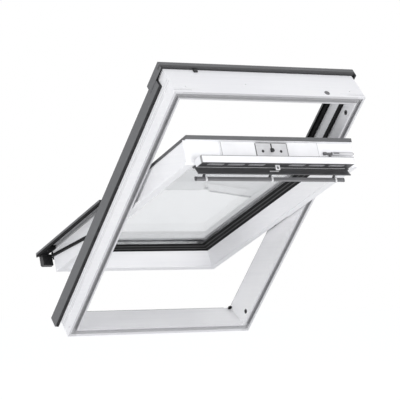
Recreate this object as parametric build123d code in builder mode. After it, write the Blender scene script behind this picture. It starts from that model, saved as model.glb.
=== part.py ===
from build123d import *
from math import cos, hypot, radians, sin, sqrt
import os

# Centre-pivot roof window in its frame, at roof pitch, with the sash part open.
# Each body is drawn in window terms: right (across), up (along the slope), out (away from the room).

os.makedirs("parts", exist_ok=True)

# Whole window, millimetres and degrees
frame_width = 780.0
frame_height = 1180.0
frame_depth = 121.0
roof_pitch = 45.0
open_angle = 26.0
pivot_drop = 5.0
pivot_rise = 14.0
cut_overrun = 5.0

# Frame members
member_width = 32.0
groove_lip = 6.0
groove_width = 18.0
groove_depth = 12.0
sill_width = 35.0
sill_outer_width = 5.0
line_groove_width = 1.5
line_groove_depth = 2.0
line_groove_first = 50.0
line_groove_second = 70.0
pilot_radius = 2.5
pilot_depth = 10.0
side_pilot_up = 34.0
side_pilot_out = 17.0
head_pilot_inset = 54.0
head_pilot_out = 32.0
centre_pilot_right = -86.0
centre_pilot_out = 53.0
plug_hole_inset = 155.0
plug_hole_out = 20.0
plug_hole_radius = 9.0
plug_hole_depth = 6.0
kerf_length = 68.0
kerf_out = 19.0
kerf_width = 1.5
kerf_depth = 4.0

# Frame covers of folded metal
sheet = 1.5
cover_rebate = 1.0
cover_overlap = 36.0
cover_reach = 10.0
cover_height = 11.0
cover_hem = 9.0
cover_tail = 36.0
cover_end_gap = 45.0
cover_gap = 4.0
upper_cover_start = 42.0
upper_cover_height = 22.5
upper_cover_inset = 12.0
upper_cover_hem = 6.0
strip_drop = 5.0
strip_end_gap = 6.0
hood_reach = 10.0
hood_depth = 70.0
hood_return = 110.0
hood_leg = 23.0
hood_side_leg = 34.0
hood_side_width = 60.0
clip_inset = 127.0
clip_width = 14.0
clip_height = 6.0
clip_drop = 16.0
lower_cover_tail = 30.0
lower_cover_inset = 8.0

# Frame seals
gasket_width = 20.0
gasket_base = 4.0
gasket_reach = 10.0
gasket_lip = 3.0
gasket_tail_width = 5.0
gasket_tail_depth = 5.0
gasket_fit = 0.25
gasket_start = 36.0
gasket_closing_gap = 1.0
cover_seal_gap = 3.0
cover_seal_width = 9.0
corner_seal_length = 8.0
corner_seal_height = 12.0
corner_seal_inset = 3.0

# Sash members and their section, as shares of a member's width
side_gap = 13.0
sill_gap = 4.0
head_gap = 9.0
ledge_depth = 46.0
sash_depth = 91.0
sash_proud = 13.0
stile_width = 59.0
bottom_rail_width = 77.0
top_rail_width = 90.0
lip_share = 0.44
bead_share = 0.49
rebate_share = 0.88
shoulder_share = 0.12
bead_depth = 3.0
bevel_depth = 50.0
rebate_depth = 22.0
shoulder_drop = 7.0
flange_width = 7.0
flange_depth = 9.0
flange_start = 15.0
nose_root = 5.0
nose_tip = 3.0

# Glass unit
glass_lap = 4.0
pane = 4.0
cavity = 16.0
glass_edge_gap = 3.0
spacer_width = 8.0
spacer_inset = 4.0
gasket_side_inset = 26.0
gasket_end_inset = 15.0
gasket_edge = 2.0
gasket_middle_share = 0.5
gasket_ridge = 1.5
gasket_wall_fit = 0.4
outer_seal_width = 16.0
outer_seal_height = 4.5
seal_cover_lap = 2.0

# Sash covers
sash_cover_inset = 7.0
top_cover_reach = 18.0
wide_cover_gap = 3.0
wide_cover_drop = 6.0
wide_cover_leg = 16.0
wide_cover_start = 60.0
sash_cover_tail = 34.0
bottom_cover_leg = 20.0
cap_inset = 11.0
cap_width = 40.0
cap_top = 6.0
cap_height = 44.0
cap_chamfer = 8.0
cap_neck_gap = 2.0
cap_neck_height = 12.5
cap_neck_length = 12.0

# Sash seals
side_seal_width = 9.0
side_seal_low_out = 65.0
side_seal_high_out = 8.0
side_seal_thickness = 11.0
side_seal_low_up = 2.0
side_seal_end = 78.0
bottom_seal_inner = 53.0
bottom_seal_outer = 83.0
bottom_seal_drop = 18.0
bottom_seal_slope = 7.0

# Pivot hinges
hinge_plate = 4.0
hinge_base_width = 48.0
hinge_base_height = 44.0
hinge_corner = 6.0
hinge_drop = 69.0
hinge_eye = 9.0
hinge_pin = 5.0
pin_fit = 0.05
pin_end_gap = 0.4
sash_arm = 34.0
sash_arm_width = 22.0
screw_radius = 4.0
screw_head = 2.0
screw_pitch = 30.0
screw_row = 54.0

# Lock, strike and latch
plate = 4.0
plate_set = 3.2
plate_edge_gap = 1.5
panel_left_set = 142.0
panel_bolt_gap = 23.0
panel_depth = 10.0
panel_gap = 1.0
lock_plate_width = 130.0
lock_plate_low = 27.0
lock_plate_height = 56.0
lock_plate_corner = 6.0
lock_case_width = 96.0
lock_case_low = 39.0
lock_case_height = 42.0
lock_case_depth = 44.0
lock_fit = 0.5
tongue_width = 10.0
tongue_low = 48.0
tongue_height = 13.0
tongue_length = 53.0
tongue_rest = 10.5
tongue_nose = 5.0
slit_width = 5.0
slit_end = 3.0
strike_width = 60.0
strike_base = 3.0
strike_leg_width = 32.0
strike_leg = 4.0
strike_height = 34.0
strike_clear = 3.0
strike_gasket_gap = 1.0

# Ventilation housing with its flap and control bar
housing_width = 622.0
housing_wall = 2.5
housing_drop = 7.0
housing_height = 26.0
lug = 4.0
lug_reach = 8.0
lug_root = 10.0
grille_sheet = 2.0
grille_fit = 0.3
slots_per_side = 3
slot_length = 70.0
slot_pitch = 82.0
slot_width = 20.0
slot_front = 9.0
filter_height = 12.0
filter_margin = 3.0
flap_end_gap = 0.5
flap_sheet = 2.0
flap_hinge_drop = 4.0
flap_hinge_set = 8.0
flap_run = 17.0
flap_fall = 28.5
flap_sag = 2.5
flap_middle_share = 0.5
flap_pin = 2.0
flap_ear = 3.5
flap_ear_width = 6.0
catch_width = 17.0
catch_height = 18.0
catch_sheet = 3.0
catch_bar = 4.0
catch_corner = 3.0
pad_width = 36.0
pad_height = 4.0
pad_sheet = 1.5
pad_gap = 0.15
bar_length = 600.0
bar_height = 15.0
bar_width = 9.0
bar_corner = 4.0
bar_run = 40.0
bar_fall = 4.5
bar_cap = 4.0
bar_fit = 0.2
clip_pitch = 265.0
bar_clip_width = 6.0
bar_clip_wall = 2.5
post_width = 8.0
post_depth = 7.0
post_low_share = 0.3
post_high_share = 0.1

# Barrel bolt and its bushes
bolt_radius = 4.0
bolt_height = 6.5
bolt_out = 47.0
bolt_tip_gap = 5.0
bolt_length = 124.0
bolt_head = 6.0
bolt_head_length = 9.0
bolt_lever = 16.0
bolt_lever_width = 6.0
bolt_lever_place = 22.0
lever_fit = 0.6
lever_slot = 28.0
barrel_length = 86.0
barrel_wall = 3.0
barrel_end_gap = 9.0
barrel_window_set = 3.0
barrel_window = 25.0
barrel_window_width = 5.0
bush_radius = 7.0
bush_bore = 4.5
bush_length = 12.0
bush_collar = 9.0
bush_proud = 1.0
bolt_hole_depth = 10.0
bush_fit = 0.1
upper_bush_out = 24.0
lower_bush_out = 27.0

# Places that follow from the sizes above
half_width = frame_width / 2
jamb_inner = half_width - member_width
head_inner = frame_height - member_width
pivot_up = frame_height / 2 - pivot_drop
pivot_out = frame_depth + pivot_rise
groove_inner = jamb_inner + groove_lip
groove_outer = groove_inner + groove_width
head_groove = (head_inner + groove_lip, head_inner + groove_lip + groove_width)
sill_groove = (sill_width - groove_lip - groove_width, sill_width - groove_lip)
cover_seat = half_width - cover_rebate
cover_outer = half_width + cover_reach
cover_low = frame_depth - cover_overlap
cover_top = frame_depth + cover_height
upper_cover_low = frame_depth + upper_cover_height
upper_cover_outer = cover_outer - upper_cover_inset
strip_low = cover_low - strip_drop
sash_half = jamb_inner - side_gap
bolt_tip = sash_half - bolt_tip_gap
bolt_start = bolt_tip - bolt_length
panel_left = sash_half - panel_left_set
panel_right = bolt_start - panel_bolt_gap
sash_out = frame_depth + sash_proud
sash_room = sash_out - sash_depth
housing_front = head_inner - head_gap
sash_top = housing_front - ledge_depth
glass_half = sash_half - stile_width
top_sight = sash_top - top_rail_width
glass_room = sash_out - rebate_depth + glass_lap
glass_out = glass_room + pane + cavity + pane
sash_cover_out = glass_out + outer_seal_height + sheet
sash_cover_half = sash_half - sash_cover_inset
wide_cover_half = cover_seat - wide_cover_gap
wide_cover_out = sash_cover_out - wide_cover_drop
upper_cover_inner = sash_cover_half + cover_gap
top_cover_front = sash_top + top_cover_reach
panel_face = sash_top + panel_depth
nose_front = top_cover_front - sheet
nose_half = sash_cover_half - sheet
housing_low = sash_room - housing_drop
housing_top = housing_low + housing_height
housing_half = housing_width / 2


def sill_at(out):
    """Height of the sloping inner face of the sill at a depth in the frame."""
    return sill_width - (sill_width - sill_outer_width) * out / frame_depth


sash_bottom = sill_at(sash_room) + sill_gap
bottom_sight = sash_bottom + bottom_rail_width
pane_half = sash_half - rebate_share * stile_width - glass_edge_gap
pane_bottom = sash_bottom + rebate_share * bottom_rail_width + glass_edge_gap
pane_top = sash_top - rebate_share * top_rail_width - glass_edge_gap
seal_outer = glass_half
seal_inner = seal_outer - outer_seal_width
cover_sight = seal_inner - seal_cover_lap
bottom_cover_sight = bottom_sight + outer_seal_width + seal_cover_lap
top_cover_sight = top_sight - outer_seal_width - seal_cover_lap
wide_cover_top = pivot_up - wide_cover_start

# The frame lies at the roof pitch; its origin is the middle of the sill's outer face
frame_up = Vector(0, -cos(radians(roof_pitch)), sin(radians(roof_pitch)))
frame_out = Vector(0, sin(radians(roof_pitch)), cos(radians(roof_pitch)))
frame = Plane(origin=frame_out * (-frame_depth / 2), x_dir=(1, 0, 0), z_dir=frame_up)

# The sash is drawn as if shut and is turned open about the pivot
pivot = frame.from_local_coords((0, pivot_out, pivot_up))
sash_up = frame_up.rotate(Axis.X, open_angle)
sash_away = frame_out.rotate(Axis.X, open_angle)
sash = Plane(
    origin=pivot - sash_away * pivot_out - sash_up * pivot_up, x_dir=(1, 0, 0), z_dir=sash_up
)


def section_plane(body, up):
    """Cross-section: right and out in the sketch, extrusion runs up the slope."""
    return body.offset(up)


def side_plane(body, right):
    """Side view: out and up in the sketch, extrusion runs to the right."""
    return Plane(origin=body.from_local_coords((right, 0, 0)), x_dir=body.y_dir, z_dir=body.x_dir)


def room_plane(body, out):
    """View from the room: right and up in the sketch, extrusion runs into the room."""
    return Plane(origin=body.from_local_coords((0, out, 0)), x_dir=body.x_dir, z_dir=body.y_dir * -1)


def span(first, second):
    """Rectangle in the current sketch between two pairs of limits."""
    with Locations((sum(first) / 2, sum(second) / 2)):
        Rectangle(abs(first[1] - first[0]), abs(second[1] - second[0]))


def slab(body, right, up, out, mode=Mode.ADD):
    """Box between limits across, along the slope and in depth."""
    with BuildSketch(section_plane(body, up[0])) as outline:
        span(right, out)
    extrude(outline.sketch, amount=up[1] - up[0], mode=mode)


def prism(plane, points, length, mode=Mode.ADD):
    """Straight run of a polygon drawn on a plane."""
    with BuildSketch(plane) as outline:
        Polygon(*points, align=None)
    extrude(outline.sketch, amount=length, mode=mode)


def rod(plane, centre, radius, length, mode=Mode.ADD):
    """Round bar or hole from a plane."""
    with BuildSketch(plane) as outline:
        with Locations(centre):
            Circle(radius)
    extrude(outline.sketch, amount=length, mode=mode)


def ring(body, out, thickness, outer, inner):
    """Flat rectangular ring, each size given as half width, bottom and top."""
    with BuildSketch(room_plane(body, out)) as outline:
        span((-outer[0], outer[0]), outer[1:])
        with Locations((0, sum(inner[1:]) / 2)):
            Rectangle(2 * inner[0], inner[2] - inner[1], mode=Mode.SUBTRACT)
    extrude(outline.sketch, amount=-thickness)


def save(piece, name):
    piece.part.label = name
    export_step(piece.part, f"parts/{name}.step")


sides = (("left", -1), ("right", 1))

# The bolt reaches both bushes on one circle about the pivot
bolt_axis_out = sash_room + bolt_out
bolt_axis_up = sash_top + bolt_height
bolt_circle = hypot(bolt_axis_up - pivot_up, pivot_out - bolt_axis_out)
upper_bush_up = pivot_up + sqrt(bolt_circle**2 - (pivot_out - upper_bush_out) ** 2)
lower_bush_up = pivot_up - sqrt(bolt_circle**2 - (pivot_out - lower_bush_out) ** 2)
bush_centres = ((upper_bush_out, upper_bush_up), (lower_bush_out, lower_bush_up))

# Frame members
gasket_room = sash_room + flange_depth + gasket_closing_gap
gasket_middle = gasket_room + gasket_width / 2
tail_span = (gasket_middle - gasket_tail_width / 2, gasket_middle + gasket_tail_width / 2)
side_gasket_up = (pivot_up + gasket_start, head_inner - gasket_reach)
top_gasket_room = housing_top + gasket_closing_gap
top_gasket_middle = top_gasket_room + gasket_width / 2
top_tail_span = (top_gasket_middle - gasket_tail_width / 2, top_gasket_middle + gasket_tail_width / 2)

for side, sign in sides:
    with BuildPart() as jamb:
        jamb_outline = [
            (sign * jamb_inner, 0),
            (sign * half_width, 0),
            (sign * half_width, strip_low - cover_rebate),
            (sign * cover_seat, strip_low - cover_rebate),
            (sign * cover_seat, frame_depth),
            (sign * jamb_inner, frame_depth),
        ]
        prism(section_plane(frame, 0), jamb_outline, frame_height)
        with BuildSketch(room_plane(frame, 0)) as lining_groove:
            span((sign * groove_inner, sign * groove_outer), (sill_groove[0], head_groove[1]))
            span((sign * (jamb_inner - cut_overrun), sign * groove_outer), head_groove)
            span((sign * (jamb_inner - cut_overrun), sign * groove_outer), sill_groove)
        extrude(lining_groove.sketch, amount=-groove_depth, mode=Mode.SUBTRACT)
        for level in (line_groove_first, line_groove_second):
            slab(
                frame,
                (sign * (half_width - line_groove_depth), sign * (half_width + cut_overrun)),
                (-cut_overrun, frame_height + cut_overrun),
                (level - line_groove_width / 2, level + line_groove_width / 2),
                Mode.SUBTRACT,
            )
        slab(
            frame,
            (sign * jamb_inner, sign * (jamb_inner + gasket_tail_depth)),
            side_gasket_up,
            tail_span,
            Mode.SUBTRACT,
        )
        rod(
            side_plane(frame, sign * half_width),
            (side_pilot_out, side_pilot_up),
            pilot_radius,
            -sign * pilot_depth,
            Mode.SUBTRACT,
        )
        slab(
            frame,
            (sign * jamb_inner, sign * (half_width - cut_overrun)),
            (frame_height - kerf_depth, frame_height + cut_overrun),
            (kerf_out - kerf_width / 2, kerf_out + kerf_width / 2),
            Mode.SUBTRACT,
        )
        if sign > 0:
            for centre in bush_centres:
                rod(
                    side_plane(frame, jamb_inner),
                    centre,
                    bush_radius + bush_fit,
                    bush_length,
                    Mode.SUBTRACT,
                )
            shut_bolt = (bolt_axis_out, bolt_axis_up)
            rod(side_plane(frame, jamb_inner), shut_bolt, bush_bore, bolt_hole_depth, Mode.SUBTRACT)
    save(jamb, f"{side}_jamb")

with BuildPart() as head:
    slab(frame, (-jamb_inner, jamb_inner), (head_inner, frame_height), (0, frame_depth))
    slab(
        frame, (-half_width, half_width), head_groove, (-cut_overrun, groove_depth), Mode.SUBTRACT
    )
    slab(
        frame,
        (-half_width, half_width),
        (head_inner - cut_overrun, head_inner + gasket_tail_depth),
        top_tail_span,
        Mode.SUBTRACT,
    )
    top_face = section_plane(frame, frame_height)
    plug_hole = (half_width - plug_hole_inset, plug_hole_out)
    rod(top_face, plug_hole, plug_hole_radius, -plug_hole_depth, Mode.SUBTRACT)
    rod(top_face, (centre_pilot_right, centre_pilot_out), pilot_radius, -pilot_depth, Mode.SUBTRACT)
    for side, sign in sides:
        head_pilot = (sign * (half_width - head_pilot_inset), head_pilot_out)
        rod(top_face, head_pilot, pilot_radius, -pilot_depth, Mode.SUBTRACT)
        slab(
            frame,
            (sign * (jamb_inner - kerf_length), sign * half_width),
            (frame_height - kerf_depth, frame_height + cut_overrun),
            (kerf_out - kerf_width / 2, kerf_out + kerf_width / 2),
            Mode.SUBTRACT,
        )
save(head, "head")

with BuildPart() as sill:
    sill_outline = [
        (0, 0),
        (0, sill_width),
        (frame_depth, sill_outer_width),
        (frame_depth, 0),
    ]
    prism(side_plane(frame, -jamb_inner), sill_outline, 2 * jamb_inner)
    slab(
        frame, (-half_width, half_width), sill_groove, (-cut_overrun, groove_depth), Mode.SUBTRACT
    )
save(sill, "sill")

# Frame covers
for side, sign in sides:
    with BuildPart() as side_cover:
        cover_run = (-cover_tail, frame_height - cover_end_gap)
        slab(frame, (sign * (cover_outer - sheet), sign * cover_outer), cover_run, (cover_low, cover_top))
        slab(
            frame,
            (sign * (cover_outer - cover_hem), sign * cover_outer),
            cover_run,
            (cover_top - sheet, cover_top),
        )
        slab(
            frame,
            (sign * jamb_inner, sign * cover_outer),
            (0, frame_height - cover_end_gap),
            (frame_depth, frame_depth + sheet),
        )
    save(side_cover, f"{side}_side_cover")

    with BuildPart() as upper_cover:
        upper_run = (pivot_up + upper_cover_start, frame_height)
        slab(
            frame,
            (sign * upper_cover_inner, sign * upper_cover_outer),
            upper_run,
            (upper_cover_low, upper_cover_low + sheet),
        )
        slab(
            frame,
            (sign * upper_cover_inner, sign * (upper_cover_inner + sheet)),
            upper_run,
            (upper_cover_low - upper_cover_hem, upper_cover_low),
        )
        slab(
            frame,
            (sign * (upper_cover_outer - sheet), sign * upper_cover_outer),
            upper_run,
            (frame_depth + sheet, upper_cover_low),
        )
    save(upper_cover, f"{side}_upper_cover")

hood_half = cover_outer + sheet
hood_top = frame_height + hood_reach
hood_out = upper_cover_low + 2 * sheet
with BuildPart() as top_hood:
    slab(frame, (-hood_half, hood_half), (hood_top - hood_depth, hood_top), (hood_out - sheet, hood_out))
    slab(frame, (-hood_half, hood_half), (hood_top - sheet, hood_top), (hood_out - hood_leg, hood_out))
    slab(
        frame,
        (-hood_half, hood_half),
        (frame_height, hood_top),
        (hood_out - hood_leg, hood_out - hood_leg + sheet),
    )
    for side, sign in sides:
        slab(
            frame,
            (sign * cover_outer, sign * hood_half),
            (hood_top - hood_return, hood_top),
            (hood_out - hood_side_leg, hood_out),
        )
        slab(
            frame,
            (sign * (hood_half - hood_side_width), sign * hood_half),
            (hood_top - hood_return, hood_top - hood_depth),
            (hood_out - sheet, hood_out),
        )
save(top_hood, "top_hood")

with BuildPart() as hood_clip:
    clip_right = clip_inset - half_width
    slab(
        frame,
        (clip_right - clip_width / 2, clip_right + clip_width / 2),
        (frame_height, frame_height + clip_height),
        (hood_out - hood_leg - clip_drop, hood_out - hood_leg),
    )
save(hood_clip, "hood_clip")

with BuildPart() as lower_frame_cover:
    slab(
        frame,
        (lower_cover_inset - sash_cover_half, sash_cover_half - lower_cover_inset),
        (-lower_cover_tail, sill_outer_width),
        (frame_depth, frame_depth + sheet),
    )
save(lower_frame_cover, "lower_frame_cover")

with BuildPart() as side_cover_seals:
    for side, sign in sides:
        slab(
            frame,
            (sign * cover_seat, sign * (cover_outer - sheet)),
            (strip_end_gap - cover_tail, frame_height - cover_end_gap),
            (strip_low, frame_depth),
        )
save(side_cover_seals, "side_cover_seals")

# Frame seals
for side, sign in sides:
    with BuildPart() as frame_gasket:
        gasket_outline = [
            (sign * jamb_inner, gasket_room),
            (sign * jamb_inner, gasket_room + gasket_width),
            (sign * (jamb_inner - gasket_base), gasket_room + gasket_width),
            (sign * (jamb_inner - gasket_base), gasket_middle),
            (sign * (jamb_inner - gasket_reach), gasket_room + gasket_lip),
            (sign * (jamb_inner - gasket_reach), gasket_room),
        ]
        gasket_length = side_gasket_up[1] - side_gasket_up[0]
        prism(section_plane(frame, side_gasket_up[0]), gasket_outline, gasket_length)
        slab(
            frame,
            (sign * jamb_inner, sign * (jamb_inner + gasket_tail_depth - gasket_fit)),
            side_gasket_up,
            (tail_span[0] + gasket_fit, tail_span[1] - gasket_fit),
        )
    save(frame_gasket, f"{side}_frame_gasket")

with BuildPart() as top_frame_gasket:
    top_gasket_outline = [
        (top_gasket_room, head_inner),
        (top_gasket_room + gasket_width, head_inner),
        (top_gasket_room + gasket_width, head_inner - gasket_base),
        (top_gasket_middle, head_inner - gasket_base),
        (top_gasket_room + gasket_lip, head_inner - gasket_reach),
        (top_gasket_room, head_inner - gasket_reach),
    ]
    prism(side_plane(frame, -jamb_inner), top_gasket_outline, 2 * jamb_inner)
    slab(
        frame,
        (-jamb_inner, jamb_inner),
        (head_inner, head_inner + gasket_tail_depth - gasket_fit),
        (top_tail_span[0] + gasket_fit, top_tail_span[1] - gasket_fit),
    )
save(top_frame_gasket, "top_frame_gasket")

with BuildPart() as cover_seals:
    seal_edge = sash_half + cover_seal_gap
    for side, sign in sides:
        slab(
            frame,
            (sign * seal_edge, sign * (seal_edge + cover_seal_width)),
            (pivot_up + upper_cover_start, frame_height - member_width),
            (frame_depth, upper_cover_low),
        )
save(cover_seals, "cover_seals")

with BuildPart() as sill_corner_seals:
    seal_end = frame_depth - corner_seal_inset
    seal_start = seal_end - corner_seal_length
    for side, sign in sides:
        corner_outline = [
            (seal_start, sill_at(seal_start)),
            (seal_end, sill_at(seal_end)),
            (seal_end, sill_at(seal_end) + corner_seal_height),
            (seal_start, sill_at(seal_start) + corner_seal_height),
        ]
        prism(side_plane(frame, sign * jamb_inner), corner_outline, -sign * (side_gap - sheet))
save(sill_corner_seals, "sill_corner_seals")

# Pivot hinges
for side, sign in sides:
    with BuildPart() as hinge_plate_part:
        with BuildSketch(side_plane(frame, sign * jamb_inner)) as plate_outline:
            base_low = pivot_out - hinge_drop
            with Locations((base_low + hinge_base_height / 2, pivot_up)):
                RectangleRounded(hinge_base_height, hinge_base_width, hinge_corner)
            span((base_low + hinge_base_height / 2, pivot_out), (pivot_up - hinge_eye, pivot_up + hinge_eye))
            with Locations((pivot_out, pivot_up)):
                Circle(hinge_eye)
        extrude(plate_outline.sketch, amount=-sign * hinge_plate)
        pin_length = side_gap - hinge_plate - pin_end_gap
        rod(
            side_plane(frame, sign * (jamb_inner - hinge_plate)),
            (pivot_out, pivot_up),
            hinge_pin,
            -sign * pin_length,
        )
    save(hinge_plate_part, f"{side}_hinge_plate")

    with BuildPart() as sash_hinge:
        with BuildSketch(side_plane(sash, sign * sash_half)) as arm_outline:
            arm_edge = sash_arm_width / 2
            span((pivot_out - sash_arm, pivot_out), (pivot_up - arm_edge, pivot_up + arm_edge))
            with Locations((pivot_out, pivot_up)):
                Circle(arm_edge)
                Circle(hinge_pin + pin_fit, mode=Mode.SUBTRACT)
        extrude(arm_outline.sketch, amount=sign * hinge_plate)
    save(sash_hinge, f"{side}_sash_hinge")

with BuildPart() as hinge_screws:
    screw_out = pivot_out - screw_row
    for side, sign in sides:
        for end in (-1, 1):
            rod(
                side_plane(frame, sign * (jamb_inner - hinge_plate)),
                (screw_out, pivot_up + end * screw_pitch / 2),
                screw_radius,
                -sign * screw_head,
            )
save(hinge_screws, "hinge_screws")

# Bushes for the barrel bolt
with BuildPart() as bolt_bushes:
    for centre in bush_centres:
        rod(side_plane(frame, jamb_inner), centre, bush_radius, bush_length)
        rod(side_plane(frame, jamb_inner), centre, bush_collar, -bush_proud)
        rod(
            side_plane(frame, jamb_inner - cut_overrun),
            centre,
            bush_bore,
            bush_length + 2 * cut_overrun,
            Mode.SUBTRACT,
        )
save(bolt_bushes, "bolt_bushes")

# Strike plate on the head
strike_room = top_gasket_room + gasket_width + strike_gasket_gap
with BuildPart() as strike_plate:
    slab(
        frame,
        (-strike_width / 2, strike_width / 2),
        (head_inner - strike_base, head_inner),
        (strike_room, strike_room + strike_height),
    )
    slab(
        frame,
        (-strike_leg_width / 2, strike_leg_width / 2),
        (top_cover_front + strike_clear, head_inner),
        (strike_room, strike_room + strike_leg),
    )
save(strike_plate, "strike_plate")

# Sash members: one section, spread over each member's own width, with mitred corners
bevel_out = sash_room + bevel_depth
seat_out = sash_out - rebate_depth
section_shares = [
    (0, sash_room),
    (lip_share, sash_room),
    (lip_share, sash_room + bead_depth),
    (bead_share, sash_room + bead_depth),
    (1, bevel_out),
    (1, seat_out),
    (rebate_share, seat_out),
    (rebate_share, sash_out),
    (shoulder_share, sash_out),
    (0, sash_out - shoulder_drop),
]


def mitre(points):
    """Cut the member in the current part to its outline seen from the room."""
    with BuildSketch(room_plane(sash, sash_room - cut_overrun)) as outline:
        Polygon(*points, align=None)
    extrude(outline.sketch, amount=-(sash_depth + 2 * cut_overrun), mode=Mode.INTERSECT)


sash_height = sash_top - sash_bottom
for side, sign in sides:
    with BuildPart() as stile:
        stile_outline = [(sign * (sash_half - share * stile_width), out) for share, out in section_shares]
        prism(section_plane(sash, sash_bottom), stile_outline, sash_height)
        mitre(
            [
                (sign * sash_half, sash_bottom),
                (sign * sash_half, sash_top),
                (sign * glass_half, top_sight),
                (sign * glass_half, bottom_sight),
            ]
        )
        slab(
            sash,
            (sign * sash_half, sign * (sash_half + flange_width)),
            (pivot_up + flange_start, sash_top),
            (sash_room, sash_room + flange_depth),
        )
    save(stile, f"{side}_stile")

with BuildPart() as bottom_rail:
    bottom_outline = [(out, sash_bottom + share * bottom_rail_width) for share, out in section_shares]
    prism(side_plane(sash, -sash_half), bottom_outline, 2 * sash_half)
    mitre(
        [
            (-sash_half, sash_bottom),
            (sash_half, sash_bottom),
            (glass_half, bottom_sight),
            (-glass_half, bottom_sight),
        ]
    )
save(bottom_rail, "bottom_rail")

case_low = sash_room + lock_case_low
with BuildPart() as top_rail:
    top_shares = section_shares[:-2] + [(0, sash_out)]
    top_outline = [(out, sash_top - share * top_rail_width) for share, out in top_shares]
    prism(side_plane(sash, -sash_half), top_outline, 2 * sash_half)
    mitre(
        [
            (-sash_half, sash_top),
            (sash_half, sash_top),
            (glass_half, top_sight),
            (-glass_half, top_sight),
        ]
    )
    nose_outline = [
        (sash_out, sash_top),
        (sash_out - nose_root, sash_top),
        (sash_out - nose_tip, nose_front),
        (sash_out, nose_front),
    ]
    prism(side_plane(sash, -nose_half), nose_outline, 2 * nose_half)
    slab(
        sash,
        (-lock_case_width / 2 - lock_fit, lock_case_width / 2 + lock_fit),
        (sash_top - lock_case_depth, sash_top),
        (case_low - lock_fit, case_low + lock_case_height + lock_fit),
        Mode.SUBTRACT,
    )
save(top_rail, "top_rail")

# Lock case, lock panel, lock plate and latch tongue
tongue_room = sash_room + tongue_low
tongue_span = (-tongue_width / 2, tongue_width / 2)
tongue_out = (tongue_room, tongue_room + tongue_height)
with BuildPart() as lock_case:
    slab(
        sash,
        (-lock_case_width / 2, lock_case_width / 2),
        (sash_top - lock_case_depth, sash_top),
        (case_low, case_low + lock_case_height),
    )
    slab(
        sash,
        (tongue_span[0] - lock_fit, tongue_span[1] + lock_fit),
        (sash_top - lock_case_depth - cut_overrun, sash_top + cut_overrun),
        (tongue_out[0] - lock_fit, tongue_out[1] + lock_fit),
        Mode.SUBTRACT,
    )
save(lock_case, "lock_case")

plate_room = sash_room + lock_plate_low
plate_span = (plate_room, plate_room + lock_plate_height)
plate_back = panel_face - plate_set
with BuildPart() as lock_panel:
    slab(
        sash,
        (-panel_left, panel_right),
        (sash_top, panel_face),
        (housing_top + panel_gap, sash_out - nose_root - panel_gap),
    )
    slab(
        sash,
        (-lock_plate_width / 2 - plate_edge_gap, lock_plate_width / 2 + plate_edge_gap),
        (plate_back, panel_face + cut_overrun),
        (plate_span[0] - plate_edge_gap, sash_out),
        Mode.SUBTRACT,
    )
    slab(
        sash,
        (tongue_span[0] - lock_fit, tongue_span[1] + lock_fit),
        (sash_top - cut_overrun, panel_face + cut_overrun),
        (tongue_out[0] - lock_fit, tongue_out[1] + lock_fit),
        Mode.SUBTRACT,
    )
    slab(
        sash,
        (-slit_width / 2, slit_width / 2),
        (sash_top - cut_overrun, panel_face + cut_overrun),
        (tongue_out[1], plate_span[1] - slit_end),
        Mode.SUBTRACT,
    )
save(lock_panel, "lock_panel")

with BuildPart() as lock_plate:
    slab(
        sash,
        (-lock_plate_width / 2, lock_plate_width / 2),
        (plate_back, plate_back + plate),
        plate_span,
    )
    fillet(lock_plate.edges().filter_by(Axis(sash.origin, sash.z_dir)), lock_plate_corner)
    slab(
        sash,
        (tongue_span[0] - lock_fit, tongue_span[1] + lock_fit),
        (plate_back - cut_overrun, plate_back + plate + cut_overrun),
        (tongue_out[0] - lock_fit, tongue_out[1] + lock_fit),
        Mode.SUBTRACT,
    )
    slab(
        sash,
        (-slit_width / 2, slit_width / 2),
        (plate_back - cut_overrun, plate_back + plate + cut_overrun),
        (tongue_out[1], plate_span[1] - slit_end),
        Mode.SUBTRACT,
    )
save(lock_plate, "lock_plate")

tongue_tip = panel_face + tongue_rest
with BuildPart() as latch_tongue:
    tongue_outline = [
        (tongue_out[0], tongue_tip - tongue_length),
        (tongue_out[1], tongue_tip - tongue_length),
        (tongue_out[1], tongue_tip - tongue_nose),
        (tongue_out[0] + tongue_nose, tongue_tip),
        (tongue_out[0], tongue_tip),
    ]
    prism(side_plane(sash, tongue_span[0]), tongue_outline, tongue_width)
save(latch_tongue, "latch_tongue")

# Glass unit with its seals
pane_levels = (("inner_pane", glass_room), ("outer_pane", glass_room + pane + cavity))
for name, level in pane_levels:
    with BuildPart() as pane_part:
        slab(sash, (-pane_half, pane_half), (pane_bottom, pane_top), (level, level + pane))
    save(pane_part, name)

with BuildPart() as glass_spacer:
    spacer_outer = (pane_half - spacer_inset, pane_bottom + spacer_inset, pane_top - spacer_inset)
    spacer_inner = (
        spacer_outer[0] - spacer_width,
        spacer_outer[1] + spacer_width,
        spacer_outer[2] - spacer_width,
    )
    ring(sash, glass_room + pane, cavity, spacer_outer, spacer_inner)
save(glass_spacer, "glass_spacer")


def gasket_window(out, share, edge):
    """Opening of the glazing gasket at one level, as a sketch."""
    half = glass_half - edge - share * gasket_side_inset
    ends = edge + share * gasket_end_inset
    with BuildSketch(room_plane(sash, out)) as window:
        span((-half, half), (bottom_sight + ends, top_sight - ends))
    return window.sketch


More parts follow.
